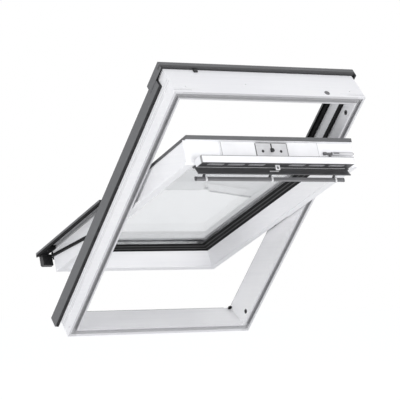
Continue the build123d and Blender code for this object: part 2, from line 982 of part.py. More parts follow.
with BuildPart() as glazing_gasket:
    slab(sash, (-glass_half, glass_half), (bottom_sight, top_sight), (bevel_out, glass_room))
    wall_half = sash_half - rebate_share * stile_width - gasket_wall_fit
    slab(
        sash,
        (-wall_half, wall_half),
        (
            sash_bottom + rebate_share * bottom_rail_width + gasket_wall_fit,
            sash_top - rebate_share * top_rail_width - gasket_wall_fit,
        ),
        (seat_out, glass_room),
    )
    ridge_out = bevel_out + gasket_middle_share * (glass_room - bevel_out)
    room_window = gasket_window(bevel_out, 0, gasket_edge)
    ridge_window = gasket_window(ridge_out, gasket_middle_share, gasket_edge)
    loft([room_window.face(), ridge_window.face()], mode=Mode.SUBTRACT)
    step_window = gasket_window(ridge_out, gasket_middle_share, gasket_edge + gasket_ridge)
    glass_window = gasket_window(glass_room, 1, gasket_edge + gasket_ridge)
    loft([step_window.face(), glass_window.face()], mode=Mode.SUBTRACT)
save(glazing_gasket, "glazing_gasket")

with BuildPart() as outer_glazing_seal:
    ring(
        sash,
        glass_out,
        outer_seal_height,
        (seal_outer, bottom_sight, top_sight),
        (seal_inner, bottom_sight + outer_seal_width, top_sight - outer_seal_width),
    )
save(outer_glazing_seal, "outer_glazing_seal")

# Sash covers
cover_face = (sash_cover_out - sheet, sash_cover_out)
with BuildPart() as sash_top_cover:
    slab(sash, (-sash_cover_half, sash_cover_half), (top_cover_sight, top_cover_front), cover_face)
    slab(
        sash,
        (-sash_cover_half, sash_cover_half),
        (top_cover_front - sheet, top_cover_front),
        (sash_out - nose_tip, sash_cover_out),
    )
    for side, sign in sides:
        slab(
            sash,
            (sign * (sash_cover_half - sheet), sign * sash_cover_half),
            (top_cover_sight, top_cover_front),
            (sash_out, sash_cover_out),
        )
save(sash_top_cover, "sash_top_cover")

for side, sign in sides:
    with BuildPart() as upper_sash_cover:
        upper_sash_run = (wide_cover_top, top_cover_sight)
        slab(sash, (sign * cover_sight, sign * sash_cover_half), upper_sash_run, cover_face)
        slab(
            sash,
            (sign * (sash_cover_half - sheet), sign * sash_cover_half),
            upper_sash_run,
            (sash_out, sash_cover_out),
        )
    save(upper_sash_cover, f"{side}_upper_sash_cover")

    with BuildPart() as lower_sash_cover:
        lower_run = wide_cover_top + sash_cover_tail
        step_right = sash_cover_half + sheet
        lower_outline = [
            (sign * cover_sight, cover_face[0]),
            (sign * cover_sight, cover_face[1]),
            (sign * step_right, cover_face[1]),
            (sign * step_right, wide_cover_out),
            (sign * wide_cover_half, wide_cover_out),
            (sign * wide_cover_half, wide_cover_out - wide_cover_leg),
            (sign * (wide_cover_half - sheet), wide_cover_out - wide_cover_leg),
            (sign * (wide_cover_half - sheet), wide_cover_out - sheet),
            (sign * (step_right - sheet), wide_cover_out - sheet),
            (sign * (step_right - sheet), cover_face[0]),
        ]
        prism(section_plane(sash, -sash_cover_tail), lower_outline, lower_run)
    save(lower_sash_cover, f"{side}_lower_sash_cover")

with BuildPart() as sash_bottom_cover:
    slab(sash, (-cover_sight, cover_sight), (-sash_cover_tail, bottom_cover_sight), cover_face)
    slab(
        sash,
        (-cover_sight, cover_sight),
        (-sash_cover_tail, sheet - sash_cover_tail),
        (sash_cover_out - bottom_cover_leg, sash_cover_out),
    )
save(sash_bottom_cover, "sash_bottom_cover")

with BuildPart() as sash_corner_caps:
    neck_out = wide_cover_out - sheet
    cap_out = neck_out - cap_neck_height
    cap_outline = [
        (cap_out, -sash_cover_tail),
        (cap_out, -cap_top),
        (cap_out - cap_height, -cap_top),
        (cap_out - cap_height, -sash_cover_tail + cap_chamfer),
        (cap_out - cap_height + cap_chamfer, -sash_cover_tail),
    ]
    cap_inner = sash_half - cap_inset
    for side, sign in sides:
        prism(side_plane(sash, sign * cap_inner), cap_outline, sign * cap_width)
        slab(
            sash,
            (sign * (sash_half + cap_neck_gap), sign * (wide_cover_half - sheet)),
            (-sash_cover_tail, cap_neck_length - sash_cover_tail),
            (cap_out, neck_out),
        )
save(sash_corner_caps, "sash_corner_caps")

# Sash seals of the lower half
seal_low = (sash_room + side_seal_low_out, sash_bottom + side_seal_low_up)
seal_high = (sash_room + side_seal_high_out, pivot_up - side_seal_end)
for side, sign in sides:
    with BuildPart() as side_seal:
        side_seal_outline = [
            (seal_low[0] - side_seal_width / 2, seal_low[1]),
            (seal_low[0] + side_seal_width / 2, seal_low[1]),
            (seal_high[0] + side_seal_width / 2, seal_high[1]),
            (seal_high[0] - side_seal_width / 2, seal_high[1]),
        ]
        prism(side_plane(sash, sign * sash_half), side_seal_outline, sign * side_seal_thickness)
    save(side_seal, f"{side}_sash_gasket")

with BuildPart() as bottom_sash_gasket:
    bottom_seal_outline = [
        (sash_room + bottom_seal_inner, sash_bottom),
        (sash_room + bottom_seal_outer, sash_bottom),
        (sash_room + bottom_seal_outer, sash_bottom - bottom_seal_drop),
        (sash_room + bottom_seal_inner, sash_bottom - bottom_seal_drop + bottom_seal_slope),
    ]
    prism(side_plane(sash, -sash_half), bottom_seal_outline, 2 * sash_half)
save(bottom_sash_gasket, "bottom_sash_gasket")

# Ventilation housing on the top rail
with BuildPart() as vent_housing:
    housing_outline = [
        (housing_low, housing_front),
        (housing_top, housing_front),
        (housing_top, sash_top),
        (sash_room, sash_top),
        (sash_room, sash_top + housing_wall),
        (housing_top - housing_wall, sash_top + housing_wall),
        (housing_top - housing_wall, housing_front - housing_wall),
        (housing_low, housing_front - housing_wall),
    ]
    prism(side_plane(sash, -housing_half), housing_outline, housing_width)
    for side, sign in sides:
        slab(
            sash,
            (sign * (housing_half - housing_wall), sign * housing_half),
            (sash_top, housing_front),
            (housing_low, housing_top),
        )
save(vent_housing, "vent_housing")

grille_back = sash_top + housing_wall
grille_front = housing_front - housing_wall - grille_fit
with BuildPart() as vent_grille:
    grille_half = housing_half - housing_wall - grille_fit
    slab(
        sash,
        (-grille_half, grille_half),
        (grille_back, grille_front),
        (housing_low, housing_low + grille_sheet),
    )
    slab(
        sash,
        (-grille_half, grille_half),
        (grille_back, grille_back + grille_sheet),
        (housing_low, sash_room + housing_drop),
    )
    slot_middle = grille_front - slot_front - slot_width / 2
    with BuildSketch(room_plane(sash, housing_low)) as slots:
        for side, sign in sides:
            for number in range(slots_per_side):
                with Locations((sign * (number + 1) * slot_pitch, slot_middle)):
                    SlotOverall(slot_length, slot_width)
    extrude(slots.sketch, amount=-grille_sheet, mode=Mode.SUBTRACT)
save(vent_grille, "vent_grille")

with BuildPart() as air_filter:
    slab(
        sash,
        (filter_margin - grille_half, grille_half - filter_margin),
        (grille_back + grille_sheet, grille_front - filter_margin),
        (housing_low + grille_sheet, housing_low + grille_sheet + filter_height),
    )
save(air_filter, "air_filter")

# Flap under the housing, hinged at its back between two lugs
flap_hinge = (sash_room - flap_hinge_drop, sash_top - flap_hinge_set)
flap_edge = (flap_hinge[0] - flap_fall, flap_hinge[1] + flap_run)
flap_span = hypot(flap_run, flap_fall)
flap_normal = (flap_run / flap_span, flap_fall / flap_span)
flap_half = housing_half - flap_end_gap
flap_back = -flap_sheet - flap_sag


def flap_point(share, depth):
    """Point of the flap's section: share from hinge to edge, depth towards the front."""
    return (
        flap_hinge[0] + share * (flap_edge[0] - flap_hinge[0]) + depth * flap_normal[0],
        flap_hinge[1] + share * (flap_edge[1] - flap_hinge[1]) + depth * flap_normal[1],
    )


with BuildPart() as flap_lugs:
    lug_low = sash_room - lug_reach
    for side, sign in sides:
        with BuildSketch(side_plane(sash, sign * housing_half)) as lug_outline:
            lug_corners = [
                (sash_room, flap_hinge[1] - lug_root),
                (sash_room, sash_top),
                (lug_low, flap_hinge[1] + flap_ear),
                (lug_low, flap_hinge[1] - flap_ear),
            ]
            Polygon(*lug_corners, align=None)
            with Locations(flap_hinge):
                Circle(flap_pin + pin_fit, mode=Mode.SUBTRACT)
        extrude(lug_outline.sketch, amount=sign * lug)
save(flap_lugs, "flap_lugs")

with BuildPart() as vent_flap:
    with BuildSketch(side_plane(sash, -flap_half)) as flap_section:
        with BuildLine():
            ThreePointArc(flap_point(0, 0), flap_point(flap_middle_share, -flap_sag), flap_point(1, 0))
            Polyline(flap_point(1, 0), flap_point(1, flap_back), flap_point(0, flap_back), flap_point(0, 0))
        make_face()
    extrude(flap_section.sketch, amount=2 * flap_half)
    for side, sign in sides:
        rod(side_plane(sash, sign * flap_half), flap_hinge, flap_ear, -sign * flap_ear_width)
        rod(side_plane(sash, sign * flap_half), flap_hinge, flap_pin, sign * (flap_end_gap + lug))
save(vent_flap, "vent_flap")

# Catch under the middle of the grille, and the pad that meets it on the flap
with BuildPart() as vent_catch:
    with BuildSketch(section_plane(sash, slot_middle - catch_sheet / 2)) as catch_outline:
        with Locations((0, housing_low - catch_height / 2)):
            Rectangle(catch_width, catch_height)
            RectangleRounded(
                catch_width - 2 * catch_bar, catch_height - 2 * catch_bar, catch_corner, mode=Mode.SUBTRACT
            )
    extrude(catch_outline.sketch, amount=catch_sheet)
    catch_edges = vent_catch.edges().filter_by(Axis(sash.origin, sash.z_dir))
    fillet(catch_edges.group_by(Axis(sash.origin, sash.y_dir))[0], catch_corner)
save(vent_catch, "vent_catch")

with BuildPart() as catch_pad:
    pad_share = pad_height / flap_span / 2
    pad_base = pad_gap - flap_sag
    pad_outline = [
        flap_point(flap_middle_share - pad_share, pad_base),
        flap_point(flap_middle_share + pad_share, pad_base),
        flap_point(flap_middle_share + pad_share, pad_base + pad_sheet),
        flap_point(flap_middle_share - pad_share, pad_base + pad_sheet),
    ]
    prism(side_plane(sash, -pad_width / 2), pad_outline, pad_width)
save(catch_pad, "catch_pad")

# Control bar, held behind the flap by arms and clips
bar_centre = (flap_edge[0] - bar_fall, flap_edge[1] - bar_run)
clip_places = [index * clip_pitch for index in (-1, 0, 1)]


def bar_section(right, growth, length, mode=Mode.ADD):
    """Run of the bar's rounded section, grown all round by an allowance."""
    with BuildSketch(side_plane(sash, right)) as section:
        with Locations(bar_centre):
            RectangleRounded(bar_height + 2 * growth, bar_width + 2 * growth, bar_corner + growth)
    extrude(section.sketch, amount=length, mode=mode)


with BuildPart() as control_bar:
    bar_section(-bar_length / 2, 0, bar_length)
save(control_bar, "control_bar")

with BuildPart() as bar_end_caps:
    for side, sign in sides:
        bar_section(sign * bar_length / 2, bar_fit, sign * bar_cap)
save(bar_end_caps, "bar_end_caps")

with BuildPart() as bar_clips:
    for place in clip_places:
        bar_section(place, bar_clip_wall, bar_clip_width)
    for place in clip_places:
        bar_section(place - cut_overrun, bar_fit, bar_clip_width + 2 * cut_overrun, Mode.SUBTRACT)
save(bar_clips, "bar_clips")

with BuildPart() as bar_posts:
    post_start = bar_centre[0] + bar_height / 2 + bar_fit
    post_outline = [
        (post_start, bar_centre[1] - post_depth / 2),
        (post_start, bar_centre[1] + post_depth / 2),
        flap_point(post_low_share, flap_back),
        flap_point(post_high_share, flap_back),
    ]
    for place in clip_places:
        prism(side_plane(sash, place - bar_fit), post_outline, -post_width)
save(bar_posts, "bar_posts")

# Barrel bolt on the top rail
bolt_axis = (bolt_axis_out, bolt_axis_up)
barrel_start = sash_half - barrel_end_gap - barrel_length
with BuildPart() as bolt_housing:
    barrel_half = bolt_radius + barrel_wall
    slab(
        sash,
        (barrel_start, barrel_start + barrel_length),
        (sash_top, bolt_axis_up),
        (bolt_axis_out - barrel_half, bolt_axis_out + barrel_half),
    )
    rod(side_plane(sash, barrel_start), bolt_axis, barrel_half, barrel_length)
    slab(
        sash,
        (barrel_start, barrel_start + barrel_length),
        (sash_top - barrel_half, sash_top),
        (bolt_axis_out - 2 * barrel_half, bolt_axis_out + 2 * barrel_half),
        Mode.SUBTRACT,
    )
    rod(
        side_plane(sash, barrel_start - cut_overrun),
        bolt_axis,
        bolt_radius + pin_fit,
        barrel_length + 2 * cut_overrun,
        Mode.SUBTRACT,
    )
    lever_half = bolt_radius / 2 + lever_fit
    slab(
        sash,
        (barrel_start - cut_overrun, barrel_start + lever_slot),
        (bolt_axis_up - lever_half, bolt_axis_up + lever_half),
        (bolt_axis_out - barrel_half - cut_overrun, bolt_axis_out),
        Mode.SUBTRACT,
    )
    window_start = barrel_start + barrel_window_set
    slab(
        sash,
        (window_start, window_start + barrel_window),
        (bolt_axis_up, bolt_axis_up + barrel_half + cut_overrun),
        (bolt_axis_out - barrel_window_width / 2, bolt_axis_out + barrel_window_width / 2),
        Mode.SUBTRACT,
    )
save(bolt_housing, "bolt_housing")

with BuildPart() as barrel_bolt:
    rod(side_plane(sash, bolt_start), bolt_axis, bolt_radius, bolt_length)
    rod(side_plane(sash, bolt_start), bolt_axis, bolt_head, bolt_head_length)
    lever_start = bolt_start + bolt_lever_place
    slab(
        sash,
        (lever_start, lever_start + bolt_lever_width),
        (bolt_axis_up - bolt_radius / 2, bolt_axis_up + bolt_radius / 2),
        (bolt_axis_out - bolt_lever, bolt_axis_out),
    )
save(barrel_bolt, "barrel_bolt")
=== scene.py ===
"""Looks of the centre-pivot roof window: materials, small trim, studio and camera."""

import math

import bmesh
import bpy
from mathutils import Matrix, Vector


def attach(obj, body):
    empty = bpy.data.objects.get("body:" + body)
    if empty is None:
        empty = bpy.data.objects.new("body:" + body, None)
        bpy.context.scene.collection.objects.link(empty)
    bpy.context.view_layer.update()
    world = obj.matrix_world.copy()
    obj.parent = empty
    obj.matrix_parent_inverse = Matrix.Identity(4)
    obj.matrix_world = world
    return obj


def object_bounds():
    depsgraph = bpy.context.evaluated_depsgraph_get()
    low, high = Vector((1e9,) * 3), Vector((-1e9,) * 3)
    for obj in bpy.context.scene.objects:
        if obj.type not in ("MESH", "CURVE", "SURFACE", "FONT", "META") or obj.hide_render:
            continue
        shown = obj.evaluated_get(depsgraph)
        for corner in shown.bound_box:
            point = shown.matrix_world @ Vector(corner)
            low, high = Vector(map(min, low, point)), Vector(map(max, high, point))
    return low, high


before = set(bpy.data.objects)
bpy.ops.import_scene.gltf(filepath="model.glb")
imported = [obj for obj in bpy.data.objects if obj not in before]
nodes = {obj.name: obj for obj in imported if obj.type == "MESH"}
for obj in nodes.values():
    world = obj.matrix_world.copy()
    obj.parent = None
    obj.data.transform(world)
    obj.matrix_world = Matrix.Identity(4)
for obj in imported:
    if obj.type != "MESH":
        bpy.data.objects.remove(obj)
cad_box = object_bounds()
scene = bpy.context.scene
scene.view_settings.view_transform = "Standard"

ROOF_PITCH = math.radians(45.0)
OPEN_ANGLE = math.radians(26.0)
SASH_PITCH = ROOF_PITCH - OPEN_ANGLE
FRAME_ORIGIN_N = 0.0605
PIVOT_S = 0.585
PIVOT_N = 0.135


class Slope:
    """Axes of a sloping member: x to the right, s up the slope and n out of the roof, in metres."""

    def __init__(self, pitch, anchor, anchor_s, anchor_n):
        self.across = self.right = Vector((1.0, 0.0, 0.0))
        self.up = Vector((0.0, -math.cos(pitch), math.sin(pitch)))
        self.out = Vector((0.0, math.sin(pitch), math.cos(pitch)))
        self.origin = Vector(anchor) - self.up * anchor_s - self.out * anchor_n

    def at(self, x, s, n):
        return self.origin + self.across * x + self.up * s + self.out * n


FRAME = Slope(ROOF_PITCH, (0.0, 0.0, 0.0), 0.0, FRAME_ORIGIN_N)
SASH = Slope(SASH_PITCH, FRAME.at(0.0, PIVOT_S, PIVOT_N), PIVOT_S, PIVOT_N)


# Node materials

PLAIN = (1.0, 1.0, 1.0)
NOISE_LOW = 0.3
NOISE_HIGH = 0.7


def set_sockets(node, **values):
    """Constants on a node's sockets; an underscore in a name stands for a blank."""
    for key, value in values.items():
        node.inputs[key.replace("_", " ")].default_value = value


def add_node(tree, kind, **values):
    node = tree.nodes.new(kind)
    set_sockets(node, **values)
    return node


def scaled(tone, factor):
    return tuple(min(1.0, factor * channel) for channel in tone)


class Shader:
    """A principled material whose sockets take constants or textures."""

    def __init__(self, name):
        self.material = bpy.data.materials.new(name)
        self.material.use_nodes = True
        self.tree = self.material.node_tree
        self.surface = self.tree.nodes["Principled BSDF"]
        self.place = self.add("ShaderNodeTexCoord").outputs["Object"]

    def add(self, kind, **values):
        return add_node(self.tree, kind, **values)

    def link(self, source, target):
        self.tree.links.new(source, target)

    def set(self, **values):
        set_sockets(self.surface, **values)

    def grain_space(self, pitch, stretch):
        """Coordinates turned with a sloping piece and stretched along a chosen axis."""
        mapping = self.add("ShaderNodeMapping", Rotation=(pitch, 0.0, 0.0), Scale=stretch)
        self.link(self.place, mapping.inputs["Vector"])
        return mapping.outputs["Vector"]

    def noise(self, scale, detail=3.0, roughness=0.55, space=None):
        texture = self.add("ShaderNodeTexNoise", Scale=scale, Detail=detail, Roughness=roughness)
        self.link(space or self.place, texture.inputs["Vector"])
        return texture.outputs["Fac"]

    def cells(self, scale):
        texture = self.add("ShaderNodeTexVoronoi", Scale=scale)
        self.link(self.place, texture.inputs["Vector"])
        return texture.outputs["Distance"]

    def ramp(self, source, low, high):
        """Colour between two stops, each a position and a tone."""
        node = self.add("ShaderNodeValToRGB")
        for element, (position, tone) in zip(node.color_ramp.elements, (low, high)):
            element.position = position
            element.color = (*tone, 1.0)
        self.link(source, node.inputs["Fac"])
        return node.outputs["Color"]

    def shades(self, source, tone, dark, light, stops=(NOISE_LOW, NOISE_HIGH)):
        """A tone that varies between a darker and a lighter share of itself."""
        return self.ramp(source, (stops[0], scaled(tone, dark)), (stops[1], scaled(tone, light)))

    def calc(self, operation, *values):
        node = self.add("ShaderNodeMath")
        node.operation = operation
        for socket, value in zip(node.inputs, values):
            if isinstance(value, float):
                socket.default_value = value
            else:
                self.link(value, socket)
        return node.outputs["Value"]

    def along(self, slope, axis):
        """Distance along one axis of a sloping member."""
        direction = getattr(slope, axis)
        node = self.add("ShaderNodeVectorMath")
        node.operation = "DOT_PRODUCT"
        self.link(self.place, node.inputs[0])
        node.inputs[1].default_value = direction
        return self.calc("SUBTRACT", node.outputs["Value"], float(slope.origin.dot(direction)))

    def zone(self, slope, limits):
        """One inside all the given limits; across is measured to both sides of the middle."""
        mask = None
        for axis, (low, high) in limits.items():
            place = self.along(slope, axis)
            if axis == "across":
                place = self.calc("ABSOLUTE", place)
            inside = self.calc("COMPARE", place, (low + high) / 2, (high - low) / 2)
            mask = inside if mask is None else self.calc("MULTIPLY", mask, inside)
        return mask

    def colour(self, source):
        self.link(source, self.surface.inputs["Base Color"])

    def colour_mix(self, blend):
        node = self.add("ShaderNodeMix")
        node.data_type = "RGBA"
        node.blend_type = blend
        return node

    def streaked(self, base, streaks, share):
        """Base colour from two ramps, the second multiplied in."""
        node = self.colour_mix("MULTIPLY")
        node.inputs["Factor"].default_value = share
        self.link(base, node.inputs["A"])
        self.link(streaks, node.inputs["B"])
        self.colour(node.outputs["Result"])

    def spots(self, slope, zones, blue=1.0):
        """Lay a grey over the base colour inside each zone, a grey tone and its limits."""
        for grey, limits in zones:
            node = self.colour_mix("MIX")
            self.link(self.surface.inputs["Base Color"].links[0].from_socket, node.inputs["A"])
            node.inputs["B"].default_value = (grey, grey, blue * grey, 1.0)
            self.link(self.zone(slope, limits), node.inputs["Factor"])
            self.colour(node.outputs["Result"])

    def rough(self, source, low, high):
        node = self.add("ShaderNodeMapRange", To_Min=low, To_Max=high)
        set_sockets(node, From_Min=NOISE_LOW, From_Max=NOISE_HIGH)
        self.link(source, node.inputs["Value"])
        self.link(node.outputs["Result"], self.surface.inputs["Roughness"])

    def bump(self, source, strength, depth):
        node = self.add("ShaderNodeBump", Strength=strength, Distance=depth)
        self.link(source, node.inputs["Height"])
        previous = self.surface.inputs["Normal"].links
        if previous:
            self.link(previous[0].from_socket, node.inputs["Normal"])
        self.link(node.outputs["Normal"], self.surface.inputs["Normal"])


ALONG_X = (3.0, 160.0, 160.0)
ALONG_SLOPE = (160.0, 3.0, 160.0)
BRUSH_X = (8.0, 900.0, 900.0)


def lacquer(name, pitch, stretch, painted_shade_and_joints=(), white=0.88):
    """White lacquer over timber: brush lines along the member and a fine orange peel.

    Zones of a frame member show a grey tone: painted shade on the room faces and in the lining groove, and
    dark joint lines.
    """
    shader = Shader(name)
    grain = shader.noise(1.0, detail=5.0, roughness=0.6, space=shader.grain_space(pitch, stretch))
    clouds = shader.noise(3.5, detail=2.0)
    shade = (NOISE_LOW, scaled((0.977, 0.977, 0.994), white))
    light = (NOISE_HIGH, scaled((1.023, 1.023, 1.028), white))
    lines = shader.ramp(grain, (0.35, (0.965, 0.965, 0.97)), (0.6, PLAIN))
    shader.streaked(shader.ramp(clouds, shade, light), lines, share=0.8)
    shader.rough(clouds, low=0.34, high=0.46)
    shader.bump(grain, strength=0.10, depth=0.0004)
    shader.bump(shader.noise(420.0, detail=2.0), strength=0.05, depth=0.0002)
    shader.set(Specular_IOR_Level=0.4, Coat_Weight=0.08, Coat_Roughness=0.25)
    # painted shade on room faces and in the lining groove, and dark joint lines, laid as grey zones
    shader.spots(FRAME, painted_shade_and_joints, blue=1.02)
    return shader.material


def cladding(name, tone, painted_shade=()):
    """Matt lacquered sheet metal with duller patches left by rain and a fine grit; painted shade is laid in
    the given zones.
    """
    shader = Shader(name)
    patches = shader.noise(5.0, detail=4.0)
    grit = shader.noise(1500.0, detail=1.0)
    speckle = shader.ramp(grit, (0.35, (0.88, 0.88, 0.89)), (0.65, PLAIN))
    shader.streaked(shader.shades(patches, tone, dark=0.86, light=1.12), speckle, share=0.7)
    shader.rough(patches, low=0.42, high=0.58)
    shader.bump(grit, strength=0.12, depth=0.0002)
    shader.bump(shader.noise(18.0, detail=2.0), strength=0.05, depth=0.001)
    shader.set(Metallic=0.25, Specular_IOR_Level=0.45)
    # painted shade laid over the given zones
    shader.spots(FRAME, painted_shade, blue=1.03)
    return shader.material


def rubber(name, tone, painted_highlights=()):
    """Seal: matt, dusty in patches, with a fine skin and painted highlights on the ribs of a sash piece."""
    shader = Shader(name)
    dust = shader.noise(40.0, detail=4.0)
    shader.colour(shader.shades(dust, tone, dark=0.75, light=1.7, stops=(0.35, 0.72)))
    shader.rough(dust, low=0.5, high=0.72)
    shader.bump(shader.noise(900.0, detail=2.0), strength=0.15, depth=0.0002)
    shader.set(Specular_IOR_Level=0.1)
    # painted highlights: lighter lines along the ribs
    shader.spots(SASH, painted_highlights)
    return shader.material


def plastic(name, tone, low, high, painted_shade=()):
    """Moulded plastic with a faint spark-eroded texture, with painted shade lines in given zones on a sash
    piece.
    """
    shader = Shader(name)
    clouds = shader.noise(9.0)
    shader.colour(shader.shades(clouds, tone, dark=0.94, light=1.03))
    shader.rough(clouds, low, high)
    shader.bump(shader.cells(1100.0), strength=0.06, depth=0.0002)
    shader.set(Specular_IOR_Level=0.45)
    # painted shade lines laid over the given zones
    shader.spots(SASH, painted_shade)
    return shader.material


def metal(name, tone, low, high, metallic, painted_shade=(), gloss=0.5):
    """Metal brushed from left to right, plated or satin, with painted shade in given zones on a sash piece.
    """
    shader = Shader(name)
    brushing = shader.noise(1.0, detail=4.0, roughness=0.7, space=shader.grain_space(0.0, BRUSH_X))
    clouds = shader.noise(22.0)
    streaks = shader.ramp(brushing, (NOISE_LOW, (0.86, 0.86, 0.87)), (NOISE_HIGH, PLAIN))
    shader.streaked(shader.shades(clouds, tone, dark=0.88, light=1.06), streaks, share=0.8)
    shader.rough(brushing, low, high)
    shader.bump(brushing, strength=0.12, depth=0.0002)
    shader.set(Metallic=metallic, Specular_IOR_Level=gloss)
    # painted shade laid over the given zones
    shader.spots(SASH, painted_shade)
    return shader.material


def glass(name):
    """Float glass with a slight tint and a faint film that breaks up its gloss."""
    shader = Shader(name)
    film = shader.noise(4.0)
    filmed = (NOISE_LOW, (0.845, 0.853, 0.86))
    clear = (NOISE_HIGH, (0.865, 0.871, 0.877))
    shader.colour(shader.ramp(film, filmed, clear))
    shader.rough(film, low=0.0, high=0.004)
    shader.set(Transmission_Weight=1.0, IOR=1.45)
    return shader.material


def foam(name):
    """Open-pored filter foam."""
    shader = Shader(name)
    pores = shader.cells(650.0)
    shader.colour(shader.ramp(pores, (0.15, (0.16, 0.16, 0.165)), (0.6, (0.42, 0.42, 0.43))))
    shader.bump(pores, strength=0.8, depth=0.001)
    shader.set(Roughness=0.9, Specular_IOR_Level=0.2)
    return shader.material


# Zones on the frame: painted shade on the room edge, in the lining groove and on the hood's lip; seam in
# the jambs' sides and corner joints
ROOM_EDGE = (-0.002, 0.0009)
IN_GROOVE = (0.0009, 0.0128)
HEAD_GROOVE = (1.1538, 1.1722)
SILL_GROOVE = (0.0108, 0.0292)
JAMB_GROOVE = (0.3638, 0.3822)
JAMB_INNER = (0.355, 0.3822)
GROOVE_RUN = (0.0108, 1.1722)
JAMB_SEAM = {"out": (0.0560, 0.0596), "across": (0.3885, 0.395)}
CORNER_JOINT = {"up": (1.179, 1.181), "across": (0.318, 0.392), "out": (0.0118, 0.0132)}
HOOD_LIP_SHADE = {"out": (0.1225, 0.1312), "up": (1.172, 1.23)}

# Zones on the sash: painted highlights on the ribs of the glazing gasket, painted shade lines at the
# outlines of the ledge, panel and lock plate
OUTER_RIB = {"out": (0.1064, 0.1090)}
INNER_RIB = {"out": (0.0988, 0.1014)}
LEDGE_EDGE = {"up": (1.136, 1.141), "out": (0.0600, 0.0625)}
LEDGE_END = {"up": (1.130, 1.141), "right": (-0.3125, -0.3088)}
PANEL_FACE = (1.1015, 1.104)
PANEL_LEFT_END = {"right": (-0.2035, -0.2012), "up": PANEL_FACE}
PANEL_RIGHT_END = {"right": (0.1912, 0.1935), "up": PANEL_FACE}
PLATE_SIDES = {"across": (0.0628, 0.066)}
PLATE_TOP = {"out": (0.1236, 0.1265)}

SASH_WHITE = 0.915
SHEET_GREY = (0.135, 0.137, 0.141)
SEAL_BLACK = (0.0075, 0.0075, 0.008)
LOCK_GREY = (0.66, 0.66, 0.67)

WHITE_RAIL = lacquer("white_lacquer_rails", 0.0, ALONG_X, white=SASH_WHITE)
# Head: painted shade on its room edge and in its lining groove; the corner joint is a dark joint line
WHITE_HEAD = lacquer("white_lacquer_head", 0.0, ALONG_X, (
    (0.56, {"out": ROOM_EDGE}),
    (0.42, {"out": IN_GROOVE, "up": HEAD_GROOVE}),
    (0.40, CORNER_JOINT),
))
# Sill: painted shade on its room edge and in its lining groove
WHITE_SILL = lacquer("white_lacquer_sill", 0.0, ALONG_X, (
    (0.74, {"out": ROOM_EDGE}),
    (0.56, {"out": IN_GROOVE, "up": SILL_GROOVE}),
))
# Jambs: painted shade on their room edges and in their lining grooves; the seam and the corner joint are
# dark joint lines
WHITE_JAMB = lacquer("white_lacquer_jambs", ROOF_PITCH, ALONG_SLOPE, (
    (0.64, {"out": ROOM_EDGE}),
    (0.42, {"out": IN_GROOVE, "across": JAMB_GROOVE, "up": GROOVE_RUN}),
    (0.42, {"out": IN_GROOVE, "across": JAMB_INNER, "up": HEAD_GROOVE}),
    (0.50, {"out": IN_GROOVE, "across": JAMB_INNER, "up": SILL_GROOVE}),
    (0.66, JAMB_SEAM),
    (0.40, CORNER_JOINT),
))
WHITE_STILE = lacquer("white_lacquer_stiles", SASH_PITCH, ALONG_SLOPE, white=SASH_WHITE)
CLADDING = cladding("grey_cladding", SHEET_GREY)
# Hood: painted shade on the lower part of its front lip
HOOD_CLADDING = cladding("grey_hood_cladding", SHEET_GREY, ((0.055, HOOD_LIP_SHADE),))
RUBBER = rubber("black_seal", SEAL_BLACK)
# Glazing seal: painted highlights along its two ribs
RIBBED_RUBBER = rubber("glazing_seal", SEAL_BLACK, ((0.075, OUTER_RIB), (0.075, INNER_RIB)))
SEALANT = rubber("grey_sealant", (0.38, 0.38, 0.386))
WORN_RUBBER = rubber("weathered_seal", (0.034, 0.034, 0.035))
BLACK_PLASTIC = plastic("black_plastic", (0.018, 0.018, 0.019), 0.42, 0.55)
DARK_PLASTIC = plastic("dark_plastic", (0.055, 0.055, 0.058), 0.4, 0.55)
# White plastic: painted shade lines along the ledge's front edge and left end and at the lock panel's ends
WHITE_PLASTIC = plastic("white_plastic", (0.87, 0.87, 0.88), 0.28, 0.4, (
    (0.16, LEDGE_EDGE),
    (0.30, LEDGE_END),
    (0.40, PANEL_LEFT_END),
    (0.45, PANEL_RIGHT_END),
))
PLUG_PLASTIC = plastic("grey_plug_plastic", (0.16, 0.16, 0.165), 0.4, 0.55)
LIGHT_PLASTIC = plastic("light_clip_plastic", (0.74, 0.74, 0.75), 0.3, 0.42)
# Grey strip plastic: its tone is painted shade for the stile under the sash covers
SHADE_STRIP_PLASTIC = plastic("painted_shade_strip_plastic", (0.5, 0.5, 0.506), 0.4, 0.55)
FLAP_METAL = metal("flap_anodised", (0.082, 0.082, 0.085), 0.36, 0.52, 0.2, gloss=0.4)
BAR_METAL = metal("bar_anodised", (0.19, 0.19, 0.196), 0.3, 0.46, 0.2)
STEEL = metal("plated_steel", (0.55, 0.56, 0.57), 0.25, 0.42, 1.0)
LOCK_METAL = metal("lock_satin", LOCK_GREY, 0.36, 0.5, 0.3)
BOLT_METAL = metal("bolt_satin", (0.16, 0.16, 0.165), 0.3, 0.46, 0.4)
# Lock plate: painted shade along its sides and top edge, standing in for the shadow gap around it
PLATE_METAL = metal("lock_plate_satin", LOCK_GREY, 0.36, 0.5, 0.3, ((0.13, PLATE_SIDES), (0.13, PLATE_TOP)))
DARK_STEEL = metal("dark_steel", (0.035, 0.035, 0.037), 0.34, 0.5, 0.4)
SPACER_METAL = metal("spacer_satin", (0.90, 0.90, 0.905), 0.12, 0.22, 1.0)
GLASS = glass("float_glass")
FOAM = foam("filter_foam")

